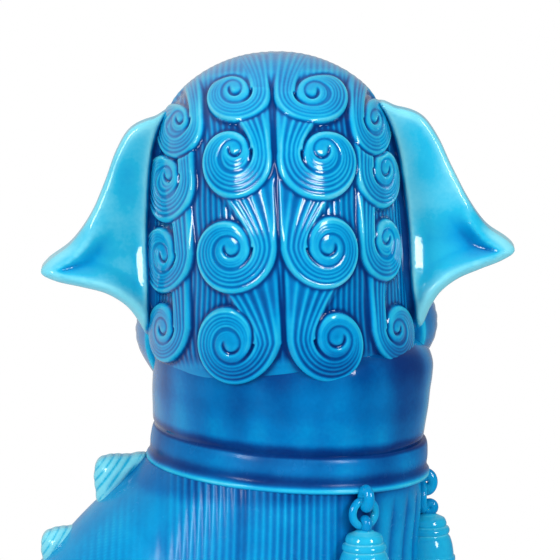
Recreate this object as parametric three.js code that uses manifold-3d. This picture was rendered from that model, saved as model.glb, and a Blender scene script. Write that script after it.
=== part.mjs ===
// A seated guardian lion (foo dog) in hollow stoneware under a turquoise glaze.
//
// It is built as such a statue is: press-moulded and slip-cast pieces, luted together with slip while
// leather-hard.
// Each piece is one solid, and every lute between two pieces is a seam SEAM wide.
//
// Units are millimetres, +Z up, with the origin at the middle of the plinth's underside.
// The body sits in profile with its chest towards -X, and the head looks over its left side towards -Y.

import * as THREE from "three";
import { mergeVertices } from "three/addons/utils/BufferGeometryUtils.js";
import Module from "manifold-3d";

const wasm = await Module();
wasm.setup();

// ---------------------------------------------------------------- driving dimensions

const SEAM = 0.3; // width of a lute
const WALL = 6; // thickness of a cast wall
const PLINTH = { length: 200, depth: 134, height: 40, corner: 10 };
const PLINTH_SLAB = 7; // thickness of the plinth's top
const VENT = 13; // radius of the vent through the plinth's top
const NECK = { x: -22, z: 190, radius: 38.3, height: 34 }; // its foot is the plane of the collar
const COLLAR = { inner: NECK.radius + 0.9, outer: NECK.radius + 3.4, top: 11 };
const HEAD_ROLL = THREE.MathUtils.degToRad(2.5); // the head leans towards the tail
const COLLAR_TILT = THREE.MathUtils.degToRad(-3.5); // the collar drops towards the chest
const SKULL = { x: 0, z: 66 }; // the skull's middle, from the middle of the neck's foot
const BALL = { at: [-63, -35, PLINTH.height + 20.3], radius: 20 };
const BELL_SPREAD = THREE.MathUtils.degToRad(58); // from the chest bell to each shoulder bell
const BELL_DROP = { lug: 1, ring: -3.2, loop: -7.4, crown: -9.2 }; // heights from the collar's plane
const LINK = { ring: 4.2, wire: 1.05, eye: 2.3, eyeWire: 0.95 }; // radii of the ring and of the eyes on it

const GLAZE = { color: 0x17a3dc, roughness: 0.08, metalness: 0 };
const POOLED_GLAZE = { color: 0x0b6fb8, roughness: 0.08, metalness: 0 };

// ---------------------------------------------------------------- shapes

/** A smooth function of t from 0 to 1 through evenly spaced values. */
function smooth(values) {
  const curve = new THREE.SplineCurve(values.map((v, i) => new THREE.Vector2(i, v)));
  return (t) => curve.getPoint(t).y;
}

/** A closed manifold solid from a three.js geometry. */
function solid(geometry) {
  const bare = geometry.clone();
  bare.deleteAttribute("normal");
  bare.deleteAttribute("uv");
  const merged = mergeVertices(bare, 1e-4);
  return new wasm.Manifold(
    new wasm.Mesh({
      numProp: 3,
      vertProperties: new Float32Array(merged.attributes.position.array),
      triVerts: new Uint32Array(merged.index.array),
    }),
  );
}

/** A closed skin of rings. point(t, angle) is the surface, with t from 0 at the first ring to 1 at the end. */
function skin(steps, sides, point) {
  const rings = Array.from({ length: steps + 1 }, (_, i) => new THREE.Vector2(1, i / steps));
  const shape = new THREE.LatheGeometry([new THREE.Vector2(0, 0), ...rings, new THREE.Vector2(0, 1)], sides);
  const place = shape.attributes.position;
  for (let i = 0; i < place.count; i++) {
    const [x, t, z] = [place.getX(i), place.getY(i), place.getZ(i)];
    const onRing = Math.hypot(x, z) > 0.5;
    const spoke = (Math.round((Math.atan2(x, z) / (2 * Math.PI)) * sides) + sides) % sides;
    const angle = (spoke * 2 * Math.PI) / sides;
    const p = onRing ? point(t, angle) : point(t, 0).lerp(point(t, Math.PI), 0.5);
    place.setXYZ(i, p.x, p.y, p.z);
  }
  const made = solid(shape);
  return made.volume() > 0 ? made : solid(flipped(shape));
}

/** The same geometry with its faces turned round. */
function flipped(geometry) {
  const turned = geometry.clone();
  const order = turned.index.array;
  for (let i = 0; i < order.length; i += 3) {
    [order[i + 1], order[i + 2]] = [order[i + 2], order[i + 1]];
  }
  return turned;
}

/**
 * Level ovals on one another. Each row is [z, left, right, front, back]: the heights are even steps of a
 * smooth curve through the rows, and grow widens it all round.
 */
function stack(rows, { steps, sides, grow = 0, square = 1 }) {
  const [z, left, right, front, back] = [0, 1, 2, 3, 4].map((k) => smooth(rows.map((row) => row[k])));
  return skin(steps, sides, (t, angle) => {
    const [c, s] = [Math.cos(angle), Math.sin(angle)].map((v) => Math.sign(v) * Math.abs(v) ** square);
    const middle = (left(t) + right(t)) / 2;
    const half = (right(t) - left(t)) / 2 + grow;
    const waist = (front(t) + back(t)) / 2;
    const depth = (back(t) - front(t)) / 2 + grow;
    const end = t === 0 ? -grow : t === 1 ? grow : 0;
    return new THREE.Vector3(middle + half * c, waist + depth * s, z(t) + end);
  });
}

/** A limb round a curve through points, with a radius at each of evenly spaced stations. */
function limb(points, radii, { steps = 8, sides = 10, grow = 0, flat = 1 } = {}) {
  const curve = new THREE.CatmullRomCurve3(points.map((p) => new THREE.Vector3(...p)));
  const frames = curve.computeFrenetFrames(steps, false);
  const radius = smooth(radii);
  return skin(steps, sides, (t, angle) => {
    const i = Math.round(t * steps);
    const r = radius(t) + grow;
    const end = t === 0 ? -grow : t === 1 ? grow : 0;
    return curve
      .getPointAt(t)
      .addScaledVector(frames.tangents[i], end)
      .addScaledVector(frames.normals[i], r * Math.cos(angle))
      .addScaledVector(frames.binormals[i], r * flat * Math.sin(angle));
  });
}

/** An ellipsoid with its half sizes, turned about its own middle. */
function oval(at, half, { turn = [0, 0, 0], grow = 0, sides = 14 } = {}) {
  const shape = new THREE.SphereGeometry(1, sides, Math.max(5, Math.round(sides * 0.5)));
  shape.scale(...half.map((h) => h + grow));
  shape.applyMatrix4(new THREE.Matrix4().makeRotationFromEuler(new THREE.Euler(...turn)));
  shape.translate(...at);
  return solid(shape);
}

/** A ring whose hole faces along its axis. */
function ring(at, radius, wire, { axis = [0, 0, 1], grow = 0, around = 12, sides = 5 } = {}) {
  const shape = new THREE.TorusGeometry(radius, wire + grow, sides, around);
  const up = new THREE.Vector3(0, 0, 1);
  const turn = new THREE.Quaternion().setFromUnitVectors(up, new THREE.Vector3(...axis));
  shape.applyQuaternion(turn);
  shape.translate(...at);
  return solid(shape);
}

/** A turned piece from its profile of [radius, height] points, which starts and ends on the axis. */
function turned(at, profile, { sides = 16, grow = 0 } = {}) {
  const ends = profile.map(([r, z]) => new THREE.Vector2(r > 0 ? r + grow : 0, z + (z < 0 ? -grow : grow)));
  const shape = new THREE.LatheGeometry(ends, sides);
  shape.rotateX(Math.PI / 2);
  shape.translate(...at);
  return solid(shape);
}

/** A level block with rounded corners between two heights. */
function slab(length, depth, corner, low, high) {
  const [x, y] = [length / 2 - corner, depth / 2 - corner];
  const outline = new THREE.Shape();
  outline.absarc(x, y, corner, 0, Math.PI / 2);
  outline.absarc(-x, y, corner, Math.PI / 2, Math.PI);
  outline.absarc(-x, -y, corner, Math.PI, 1.5 * Math.PI);
  outline.absarc(x, -y, corner, 1.5 * Math.PI, 2 * Math.PI);
  const shape = new THREE.ExtrudeGeometry(outline, {
    depth: high - low,
    bevelEnabled: false,
    curveSegments: 3,
  });
  shape.translate(0, 0, low);
  return solid(shape);
}

const union = (...solids) => solids.reduce((a, b) => a.add(b));
const mirrorX = (side, [x, ...rest]) => [side * x, ...rest];

// ---------------------------------------------------------------- assembly

const statue = new THREE.Group();
const neckFoot = new THREE.Group();
neckFoot.position.set(NECK.x, 0, NECK.z);
neckFoot.rotation.y = HEAD_ROLL;
const skull = new THREE.Group();
skull.position.set(SKULL.x, 0, SKULL.z);
neckFoot.add(skull);
const collar = new THREE.Group();
collar.position.set(NECK.x, 0, NECK.z);
collar.rotation.y = COLLAR_TILT;
statue.add(neckFoot, collar);
statue.updateMatrixWorld(true);

const luted = []; // the outer form of each piece in place, a seam larger, in the statue's frame

/**
 * Lutes a piece on. outer(grow) is its closed outer form in its group's frame, and hollow is what is cut out.
 * A piece gives way to every piece that is already in place.
 */
function lute(name, group, glaze, outer, hollow = null) {
  const frame = group.matrixWorld;
  let body = outer(0);
  if (hollow) body = body.subtract(hollow);
  const back = frame.clone().invert().toArray();
  for (const earlier of luted) body = body.subtract(earlier.transform(back));
  body = body.decompose().sort((a, b) => b.volume() - a.volume())[0];
  luted.push(outer(SEAM).transform(frame.toArray()));

  const { vertProperties, triVerts } = body.getMesh();
  const geometry = new THREE.BufferGeometry();
  geometry.setAttribute("position", new THREE.BufferAttribute(vertProperties, 3));
  geometry.setIndex(new THREE.BufferAttribute(triVerts, 1));
  geometry.computeVertexNormals();
  const mesh = new THREE.Mesh(geometry, new THREE.MeshStandardMaterial(glaze));
  mesh.name = name;
  group.add(mesh);
}

// ---------------------------------------------------------------- plinth

const { length, depth, height, corner } = PLINTH;
const boxTop = height - PLINTH_SLAB;

lute(
  "plinth_box",
  statue,
  GLAZE,
  () =>
    union(
      slab(length, depth, corner, 0, 8),
      slab(length - 5, depth - 5, corner - 2, 8, 11),
      slab(length - 10, depth - 10, corner - 4, 11, boxTop - 3),
      slab(length - 5, depth - 5, corner - 2, boxTop - 3, boxTop),
    ),
  slab(length - 24, depth - 24, corner - 5, -1, boxTop + 1),
);
lute(
  "plinth_top",
  statue,
  GLAZE,
  () => slab(length, depth, corner, boxTop + SEAM, height),
  turned([0, 0, boxTop], [[0, -2], [VENT, -2], [VENT, 12], [0, 12]]),
);

// ---------------------------------------------------------------- body

// [z, chest, spine, left side, right side]
const TORSO = [
  [40.3, -26, 76, -38, 38],
  [58, -35, 81, -42, 42],
  [77, -43, 82, -44, 44],
  [96, -49, 80, -44, 44],
  [115, -54, 75, -43.5, 43.5],
  [134, -57.5, 67, -42.5, 42.5],
  [153, -59.5, 54, -41.5, 41.5],
  [170, -60, 38.5, -40.5, 40.5],
  [182, -61.5, 26, -40.5, 40.5],
  [NECK.z + 6, -62, 17, -40.5, 40.5],
];
// The neck's foot, the collar and the torso's mouth share one plane.
const shoulder = new THREE.Vector3(0, 0, 1).applyEuler(collar.rotation);
const below = (form, gap) =>
  form.trimByPlane(shoulder.clone().negate().toArray(), -shoulder.dot(collar.position) - gap);
const torsoForm = (grow) => below(stack(TORSO, { steps: 11, sides: 24, grow }), grow);
// The cast body has no floor, so its hollow starts below its foot.
const [foot, ...risen] = TORSO;
const hollowFoot = [foot[0] - WALL - 2, ...foot.slice(1)];
const torsoHollow = union(
  stack([hollowFoot, ...risen], { steps: 7, sides: 16, grow: -WALL }),
  turned([NECK.x, 0, NECK.z], [[0, -14], [NECK.radius - WALL, -14], [NECK.radius - WALL, 9], [0, 9]]),
);
lute("torso", statue, GLAZE, torsoForm, torsoHollow);

for (const [side, name] of [[-1, "left"], [1, "right"]]) {
  lute(`haunch_${name}`, statue, GLAZE, (grow) =>
    union(
      oval([42, side * 35, 76], [37, 19, 35], { grow, sides: 18, turn: [0, 0.25, 0] }),
      oval([30, side * 44, 56], [26, 12, 16], { grow, sides: 10 }),
    ).trimByPlane([0, 0, 1], height + SEAM - grow),
  );
  lute(`hind_foot_${name}`, statue, GLAZE, (grow) => paw([6, side * 48, height], side, 1, grow));
}

/** A paw with its heel at the back, four toes towards -X, and its sole on the level below. */
function paw([x, y, z], side, size, grow) {
  const toes = [-1.5, -0.5, 0.5, 1.5].map((k) =>
    oval(
      [x - size * (15 - Math.abs(k) * 2.5), y + k * 6 * size, z + 5.5 * size],
      [9, 4.2, 6.5].map((half) => half * size),
      { grow, sides: 8 },
    ),
  );
  const heel = oval([x, y, z + 8 * size], [19, 12.5, 10.5].map((half) => half * size), { grow, sides: 12 });
  return union(heel, ...toes).trimByPlane([0, 0, 1], z + SEAM - grow);
}

lute(
  "brocade_ball",
  statue,
  GLAZE,
  (grow) => oval(BALL.at, [BALL.radius, BALL.radius, BALL.radius], { grow, sides: 20 }),
);
lute("foreleg_right", statue, GLAZE, (grow) =>
  limb([[-38, 27, 132], [-47, 29, 105], [-51, 29, 78], [-52, 29, 54]], [18, 15.5, 12.5, 11.5], {
    grow,
    sides: 12,
  }),
);
lute("forepaw_right", statue, GLAZE, (grow) => paw([-58, 29, height], 1, 1, grow));
lute("foreleg_left", statue, GLAZE, (grow) =>
  limb([[-38, -27, 134], [-48, -30, 114], [-53, -33, 98], [-55, -35, 90]], [18, 15.5, 12.5, 11], {
    grow,
    sides: 12,
  }),
);
lute("forepaw_left", statue, GLAZE, (grow) => paw([-60, -35, BALL.at[2] + BALL.radius - 5], -1, 0.92, grow));

for (const [side, name] of [[-1, "left"], [1, "right"]]) {
  lute(`elbow_flame_${name}`, statue, GLAZE, (grow) =>
    limb(
      [[-34, side * 38, 96], [-24, side * 45, 104], [-14, side * 46, 116], [-12, side * 44, 126]],
      [5, 7, 5, 0.8],
      { grow, steps: 6, sides: 8 },
    ),
  );
}

// ---------------------------------------------------------------- spine and tail

// [x, z] of each tuft's root on the spine, and how far it leans back
const SPINE_TUFTS = [
  [21, 183, 0.75],
  [38, 162, 0.8],
  [54, 142, 0.85],
  [67, 121, 1.05],
];
SPINE_TUFTS.forEach(([x, z, lean], i) => {
  lute(`spine_tuft_${i + 1}`, statue, GLAZE, (grow) =>
    oval([x + 4.5, 0, z + 1], [11, 7, 8.5], { grow, sides: 12, turn: [0, lean, 0] }),
  );
});
lute("tail_root", statue, GLAZE, (grow) =>
  limb([[72, 0, 58], [84, 0, 62], [88, 0, 78], [85, 0, 92]], [9, 9.5, 8.5, 7], { grow, sides: 10 }),
);
for (const [name, y, top] of [["middle", 0, 152], ["left", -13, 134], ["right", 13, 134]]) {
  lute(`tail_lock_${name}`, statue, GLAZE, (grow) =>
    limb(
      [
        [85, y * 0.5, 84],
        [87, y, 102],
        [82, y * 1.1, (top + 102) / 2],
        [76, y * 0.9, top - 6],
        [83, y * 0.8, top],
      ],
      [6, 9.5, 8.5, 5.5, 1],
      { grow, steps: 7, sides: 8 },
    ),
  );
}

// ---------------------------------------------------------------- neck and collar

lute(
  "neck",
  neckFoot,
  POOLED_GLAZE,
  (grow) =>
    union(
      turned([0, 0, NECK.height / 2 + SEAM], [
        [0, -NECK.height / 2],
        [NECK.radius, -NECK.height / 2],
        [NECK.radius - 0.8, 0],
        [NECK.radius, NECK.height / 2 - SEAM],
        [0, NECK.height / 2 - SEAM],
      ], { sides: 28, grow }),
      turned([0, 0, 0], [
        [0, -8],
        [NECK.radius - WALL - 1, -8],
        [NECK.radius - WALL - 1, 4],
        [0, 4],
      ], { sides: 20, grow }),
    ),
  turned([0, 0, 0], [
    [0, -20],
    [NECK.radius - 2 * WALL, -20],
    [NECK.radius - 2 * WALL, NECK.height + 5],
    [0, NECK.height + 5],
  ], { sides: 18 }),
);

/** The collar's roll, with a flat foot on the torso's mouth. */
function collarForm(grow) {
  const [inner, outer] = [COLLAR.inner - grow, COLLAR.outer + grow];
  const [base, top] = [SEAM - grow, COLLAR.top + grow];
  const section = [
    [inner, base],
    [outer, base],
    [outer + 0.8, (base + top) / 2],
    [outer - 0.7, top - 1.5],
    [outer - 2, top],
    [inner, top],
    [inner, base],
  ];
  const shape = new THREE.LatheGeometry(section.map((p) => new THREE.Vector2(...p)), 32);
  return solid(shape.rotateX(Math.PI / 2));
}
lute("collar_band", collar, GLAZE, collarForm);

for (const [turn, name] of [[-BELL_SPREAD, "left"], [0, "chest"], [BELL_SPREAD, "right"]]) {
  const [c, s] = [Math.cos(turn), Math.sin(turn)];
  const reach = COLLAR.outer + 1.6;
  const at = (z) => [-reach * c, reach * s, z];
  const outward = [-c, s, 0];
  const tangent = [s, c, 0];
  lute(`bell_lug_${name}`, collar, GLAZE, (grow) =>
    ring(at(BELL_DROP.lug), LINK.eye, LINK.eyeWire, { axis: tangent, grow, around: 12, sides: 5 }),
  );
  lute(`bell_ring_${name}`, collar, GLAZE, (grow) =>
    ring(at(BELL_DROP.ring), LINK.ring, LINK.wire, { axis: outward, grow, around: 14, sides: 5 }),
  );
  lute(`bell_${name}`, collar, GLAZE, (grow) =>
    union(
      ring(at(BELL_DROP.loop), LINK.eye, LINK.eyeWire, { axis: tangent, grow, around: 12, sides: 5 }),
      turned(at(BELL_DROP.crown - 9.6), [
        [0, -6.4],
        [3.2, -5.6],
        [5.6, -3.2],
        [6.5, 0.4],
        [7, 0.6],
        [7, 2],
        [6.1, 2.3],
        [5.2, 5.2],
        [3, 8],
        [0, 8.8],
      ], { sides: 14, grow }),
    ),
  );
}

// ---------------------------------------------------------------- head

// [z, left, right, face, back of the mane]
const HEAD = [
  [-32 + SEAM, -35, 35, -38, 41],
  [-24, -36.5, 36.5, -44, 44],
  [-12, -36.8, 36.8, -49, 45.5],
  [0, -36.5, 36.5, -50, 46],
  [12, -35.2, 35.2, -49, 45],
  [24, -33.6, 33.6, -46, 42],
  [35, -31, 31, -41, 37],
  [44, -25, 25, -32, 29],
  [50, -17, 17, -21, 19.5],
  [53.5, -4, 4, -5, 4],
];
const headForm = (grow) => stack(HEAD, { steps: 12, sides: 24, grow });
const headHollow = union(
  stack(HEAD, { steps: 7, sides: 16, grow: -WALL }),
  turned([-SKULL.x, 0, -32], [[0, -4], [NECK.radius - 2 * WALL, -4], [NECK.radius - 2 * WALL, 8], [0, 8]]),
);
const MANE_EDGE = 4; // the mould's parting plane between mane and face, behind the ears

const maneForm = (grow) => headForm(grow).trimByPlane([0, 1, 0], MANE_EDGE - grow);
lute("mane_shell", skull, GLAZE, maneForm, headHollow);

const mouth = oval([0, -50, -18], [15, 10, 7], { sides: 12 });
lute(
  "face_shell",
  skull,
  GLAZE,
  (grow) =>
    union(
      headForm(grow).trimByPlane([0, -1, 0], -MANE_EDGE + SEAM - grow),
      oval([0, -48, -6], [20, 14, 9], { grow, sides: 14 }),
    ),
  union(headHollow.trimByPlane([0, 1, 0], -36), mouth),
);

// [z, inner edge, outer edge, front, back] of the flared ear on the +X side
const EAR = [
  [37, 30, 38, -2, 6],
  [30, 31, 44, -3, 6],
  [21, 32, 48, -4, 5],
  [13, 33, 52, -5, 5],
  [5, 33, 57, -5, 6],
  [-3, 33, 64, -4, 9],
  [-8, 33, 63, -3, 11],
  [-13, 33, 52, -3, 12],
  [-20, 33, 43.5, -3, 11],
  [-28, 34, 39.5, -2, 8],
];
for (const [side, name] of [[-1, "left"], [1, "right"]]) {
  lute(`ear_${name}`, skull, GLAZE, (grow) => {
    const rows = EAR.map(([z, a, b, front, back]) => {
      const edges = [side * a, side * b].sort((p, q) => p - q);
      return [z, ...edges, front, back];
    });
    return stack(rows, { steps: 10, sides: 10, grow });
  });
}
for (const [side, name] of [[-1, "left"], [1, "right"]]) {
  lute(`eye_${name}`, skull, GLAZE, (grow) =>
    oval(mirrorX(side, [15.5, -42.5, 11]), [8, 7.5, 7], { grow, sides: 12 }),
  );
  lute(`brow_${name}`, skull, GLAZE, (grow) =>
    limb(
      [[4, -50, 15], [12, -50, 21], [23, -43, 23], [31, -33, 29]].map((at) => mirrorX(side, at)),
      [3.6, 4.6, 4.2, 1],
      { grow, steps: 7, sides: 8 },
    ),
  );
}
lute("nose", skull, GLAZE, (grow) =>
  union(
    oval([0, -59, -1], [6.5, 6.5, 5.5], { grow, sides: 10 }),
    oval([-7, -56.5, -2.5], [5, 5.5, 4.5], { grow, sides: 8 }),
    oval([7, -56.5, -2.5], [5, 5.5, 4.5], { grow, sides: 8 }),
  ),
);
lute("lower_jaw", skull, GLAZE, (grow) =>
  oval([0, -44, -27.5], [18, 16, 6.5], { grow, sides: 14 }).trimByPlane([0, 0, 1], -32 + 2 * SEAM - grow),
);
lute("tongue", skull, GLAZE, (grow) => oval([0, -48, -20.5], [8.5, 10, 2.6], { grow, sides: 10 }));
for (const [side, name] of [[-1, "left"], [1, "right"]]) {
  for (const [row, z, tip] of [["upper", -12.5, -17.5], ["lower", -22, -16]]) {
    const x = row === "upper" ? 12.5 : 9.5;
    lute(`fang_${row}_${name}`, skull, GLAZE, (grow) =>
      limb([[side * x, -54, z], [side * x, -55.5, (z + tip) / 2], [side * x, -56, tip]], [2.1, 1.7, 0.5], {
        grow,
        steps: 4,
        sides: 8,
      }),
    );
  }
  lute(`cheek_curl_${name}`, skull, GLAZE, (grow) =>
    oval(mirrorX(side, [28, -32, -17]), [11, 12, 13], { grow, sides: 12 })
      .trimByPlane([0, 0, 1], -32 + 2 * SEAM - grow),
  );
}
lute("beard", skull, GLAZE, (grow) =>
  limb([[0, -50, -31], [0, -51, -39], [0, -48, -47], [0, -43, -53]], [9, 8.5, 6, 1.2], {
    grow,
    steps: 6,
    sides: 10,
  }),
);

export default statue;
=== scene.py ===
"""The looks of a seated guardian lion (foo dog) in turquoise-glazed stoneware, seen from behind its head.

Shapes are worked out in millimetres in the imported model's frame, and become metres when a mesh is made.
The head has its own axes: its origin is the middle of the skull, +z goes up through the crown, and +y
goes out through the back of the mane.
"""

import math

import bpy
import numpy as np
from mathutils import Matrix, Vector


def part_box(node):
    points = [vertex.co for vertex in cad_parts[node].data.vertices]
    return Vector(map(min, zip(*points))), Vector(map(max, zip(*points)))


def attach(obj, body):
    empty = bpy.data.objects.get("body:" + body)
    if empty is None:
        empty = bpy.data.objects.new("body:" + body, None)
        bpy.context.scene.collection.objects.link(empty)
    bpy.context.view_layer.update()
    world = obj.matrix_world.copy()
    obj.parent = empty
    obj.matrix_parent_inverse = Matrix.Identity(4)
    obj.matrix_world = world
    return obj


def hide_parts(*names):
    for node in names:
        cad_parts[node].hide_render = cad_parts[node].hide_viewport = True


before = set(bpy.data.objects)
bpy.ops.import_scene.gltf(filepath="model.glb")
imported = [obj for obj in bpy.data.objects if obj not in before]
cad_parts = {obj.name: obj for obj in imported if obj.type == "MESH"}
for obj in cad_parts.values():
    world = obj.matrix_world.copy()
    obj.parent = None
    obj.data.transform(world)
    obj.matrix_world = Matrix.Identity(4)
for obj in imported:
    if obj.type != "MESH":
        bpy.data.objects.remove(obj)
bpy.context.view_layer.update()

import openvdb
from mathutils import Vector

MM = 0.001
COARSE = 1.0


def corners(node):
    """The lowest and highest corners of a CAD node, in millimetres."""
    low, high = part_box(node)
    return np.array(low) / MM, np.array(high) / MM


def middle_of(node):
    low, high = corners(node)
    return (low + high) / 2


# ---- numbers and curves


def smoothstep(t):
    t = np.clip(t, 0, 1)
    return t * t * (3 - 2 * t)


def hump(offset, width):
    """1 at no offset, and down to 0 smoothly over the width."""
    return np.exp(-((offset / width) ** 2))


def ridges(turns):
    """Rounded ridges between narrow grooves, one to each whole turn, about zero."""
    return np.abs(np.sin(np.pi * turns)) ** 0.8 - 0.62


def through(values, t):
    """A smooth curve through evenly spaced values, at t from 0 to 1."""
    v = np.asarray(values, float)
    last = len(v) - 1
    s = np.clip(t, 0, 1) * last
    i = np.minimum(np.asarray(s).astype(int), last - 1)
    w = s - i
    before, here, there, after = v[np.maximum(i - 1, 0)], v[i], v[i + 1], v[np.minimum(i + 2, last)]
    m1, m2 = (there - before) / 2, (after - here) / 2
    cube, square = 2 * here - 2 * there + m1 + m2, 3 * there - 3 * here - 2 * m1 - m2
    return cube * w**3 + square * w**2 + m1 * w + here


def curve(points, count):
    """So many points along a smooth curve through the given ones."""
    t = np.linspace(0, 1, count)
    return np.stack([through(column, t) for column in np.transpose(points)], 1)


def closed_curve(points, count):
    """So many points round a smooth closed curve through the given ones."""
    n = len(points)
    wrapped = [points[k % n] for k in range(-2, n + 3)]
    t = (2 + np.linspace(0, n, count, endpoint=False)) / (n + 4)
    return np.stack([through(column, t) for column in np.transpose(wrapped)], 1)


def blurred(field, sigma):
    """The 2-D field blurred by a Gaussian of sigma cells."""
    reach = int(3 * sigma) + 1
    kernel = np.exp(-0.5 * (np.arange(-reach, reach + 1) / sigma) ** 2)
    kernel /= kernel.sum()
    for axis in (0, 1):
        field = np.moveaxis(field, axis, 0)
        padded = np.pad(field, [(reach, reach), (0, 0)], mode="edge")
        field = sum(weight * padded[k : k + len(field)] for k, weight in enumerate(kernel))
        field = np.moveaxis(field, 0, axis)
    return field


def between(grid, u, v):
    """A grid's value at places u, v counted in its cells."""
    u = np.clip(u, 0, grid.shape[0] - 1.001)
    v = np.clip(v, 0, grid.shape[1] - 1.001)
    i, j = u.astype(int), v.astype(int)
    p, q = u - i, v - j
    low = grid[i, j] * (1 - p) + grid[i + 1, j] * p
    high = grid[i, j + 1] * (1 - p) + grid[i + 1, j + 1] * p
    return low * (1 - q) + high * q


# ---- meshes


def normals_of(points, faces):
    """Vertex normals of a mesh of quads, as unit vectors."""
    a, b, c, d = (points[faces[:, k]] for k in range(4))
    across = np.cross(c - a, d - b)
    total = np.zeros_like(points)
    for k in range(4):
        for axis in range(3):
            total[:, axis] += np.bincount(faces[:, k], across[:, axis], len(points))
    return total / np.maximum(np.linalg.norm(total, axis=1, keepdims=True), 1e-12)


def relaxed(values, faces, rounds):
    """Each vertex's value averaged with its neighbours', so many rounds over."""
    pairs = np.concatenate([faces[:, [k, (k + 1) % 4]] for k in range(4)])
    pairs = pairs[pairs[:, 0] != pairs[:, 1]]
    here, there = np.concatenate([pairs, pairs[:, ::-1]]).T
    count = np.maximum(np.bincount(here, minlength=len(values)), 1)
    for _ in range(rounds):
        columns = [np.bincount(here, values[there, k], len(values)) / count for k in range(values.shape[1])]
        values = 0.5 * values + 0.5 * np.stack(columns, 1)
    return values


def tube_faces(rings, around, closed=True, looped=False):
    """Quads between rings of points. A ring may close on itself, and the last ring loop to the first."""
    last = rings if looped else rings - 1
    i, j = np.meshgrid(np.arange(last), np.arange(around if closed else around - 1), indexing="ij")
    i, j = i.ravel(), j.ravel()
    k, up = (j + 1) % around, (i + 1) % rings
    return np.stack([i * around + j, i * around + k, up * around + k, up * around + j], 1)


def capped(rings):
    """A closed skin over m rings of n points. Each end is a fan, of quads that have one corner twice."""
    m, n, _ = rings.shape
    points = np.concatenate([rings.reshape(-1, 3), rings[:1].mean(1), rings[-1:].mean(1)])
    j = np.arange(n)
    k = (j + 1) % n
    first, last = np.full(n, m * n), np.full(n, m * n + 1)
    low = np.stack([k, j, first, first], 1)
    high = np.stack([(m - 1) * n + j, (m - 1) * n + k, last, last], 1)
    return points, np.concatenate([tube_faces(m, n), low, high])


def pooled(points, faces, tone):
    """The glaze over a form: it runs off the ridges and pools in the hollows."""
    out = normals_of(points, faces)
    near = ((points - relaxed(points, faces, 5)) * out).sum(1)
    wide = ((points - relaxed(points, faces, 40)) * out).sum(1)
    return tone + np.clip(1.9 * near, -0.3, 0.3) + np.clip(0.5 * wide, -0.3, 0.2)


def piece(name, points, faces, glaze, node=None, sharp=None, material=None):
    """A mesh that stands for a CAD node, the one of its own name unless another is given.

    glaze holds a value for each vertex, from 0 where the glaze lies deepest to 1 on the barest ridge, with
    painted shade and a painted sheen mixed in on some pieces.
    sharp is the angle past which an edge stays sharp, in degrees.
    """
    nodes = [node or name]
    middle = points.mean(0)
    a, b, c = (points[faces[:, k]] - middle for k in range(3))
    if (a * np.cross(b, c)).sum() + (a * np.cross(c, points[faces[:, 3]] - middle)).sum() < 0:
        faces = faces[:, ::-1]
    mesh = bpy.data.meshes.new(name)
    polygons = [q if q[2] != q[3] and q[0] != q[1] else sorted(set(q), key=q.index) for q in faces.tolist()]
    mesh.from_pydata((points * MM).tolist(), [], polygons)
    mesh.validate()
    mesh.shade_smooth()
    if sharp is not None:
        mesh.set_sharp_from_angle(angle=math.radians(sharp))
    values = mesh.attributes.new("glaze", "FLOAT", "POINT").data
    values.foreach_set("value", np.clip(glaze, 0, 1).astype(np.float32))
    mesh.materials.append(material or GLAZE)
    made = bpy.data.objects.new(name, mesh)
    bpy.context.scene.collection.objects.link(made)
    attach(made, "root")
    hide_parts(*nodes)


# ---- sculpting by distance


def oval(p, at, half, turn=0.0):
    """Distance from an ellipsoid that is turned about Y."""
    q = p - np.array(at, float)
    if turn:
        c, s = math.cos(turn), math.sin(turn)
        q = np.stack([q[:, 0] * c - q[:, 2] * s, q[:, 1], q[:, 0] * s + q[:, 2] * c], 1)
    half = np.array(half, float)
    k0 = np.linalg.norm(q / half, axis=1)
    k1 = np.linalg.norm(q / half**2, axis=1)
    return k0 * (k0 - 1) / np.maximum(k1, 1e-9)


def at_each(places, table, line):
    """The points of a line at each of the places, read between the places in the table."""
    return np.stack([np.interp(places, table, line[:, k]) for k in range(3)], 1)


def limb(p, points, radii):
    """Distance from a limb round a smooth curve, how far along it (0 to 1) a place is, and the way to it."""
    count = 5 * (len(points) - 1) + 1
    line = curve(points, count)
    radius = through(radii, np.linspace(0, 1, count))
    best, along = np.full(len(p), np.inf), np.zeros(len(p))
    for k in range(count - 1):
        run = line[k + 1] - line[k]
        from_start = p - line[k]
        s = np.clip(from_start @ run / (run @ run), 0, 1)
        to = from_start - s[:, None] * run
        d = np.linalg.norm(to, axis=1) - (radius[k] + s * (radius[k + 1] - radius[k]))
        closer = d < best
        best = np.where(closer, d, best)
        along = np.where(closer, (k + s) / (count - 1), along)
    # then two steps nearer to the closest place on the curve itself, so that no joint shows
    table = np.linspace(0, 1, 241)
    line = curve(points, 241)
    course = np.gradient(line, table, axis=0)
    radius = through(radii, table)
    for _ in range(2):
        at, way = (at_each(along, table, v) for v in (line, course))
        step = ((p - at) * way).sum(1) / np.maximum((way * way).sum(1), 1e-9)
        along = np.clip(along + 0.8 * step, 0, 1)
    away = p - at_each(along, table, line)
    return np.linalg.norm(away, axis=1) - np.interp(along, table, radius), along, away


def merged(*distances, soft):
    """Forms joined with fillets about as wide as soft."""
    total = distances[0]
    for other in distances[1:]:
        mix = np.clip(0.5 + 0.5 * (other - total) / soft, 0, 1)
        total = other * (1 - mix) + total * mix - soft * mix * (1 - mix)
    return total


def carved(form, cut, soft):
    """A form with another cut out of it, and a rounded lip."""
    return -merged(-form, cut, soft=soft)


BLOCK = 8  # cells along the side of a block of the grid


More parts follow.
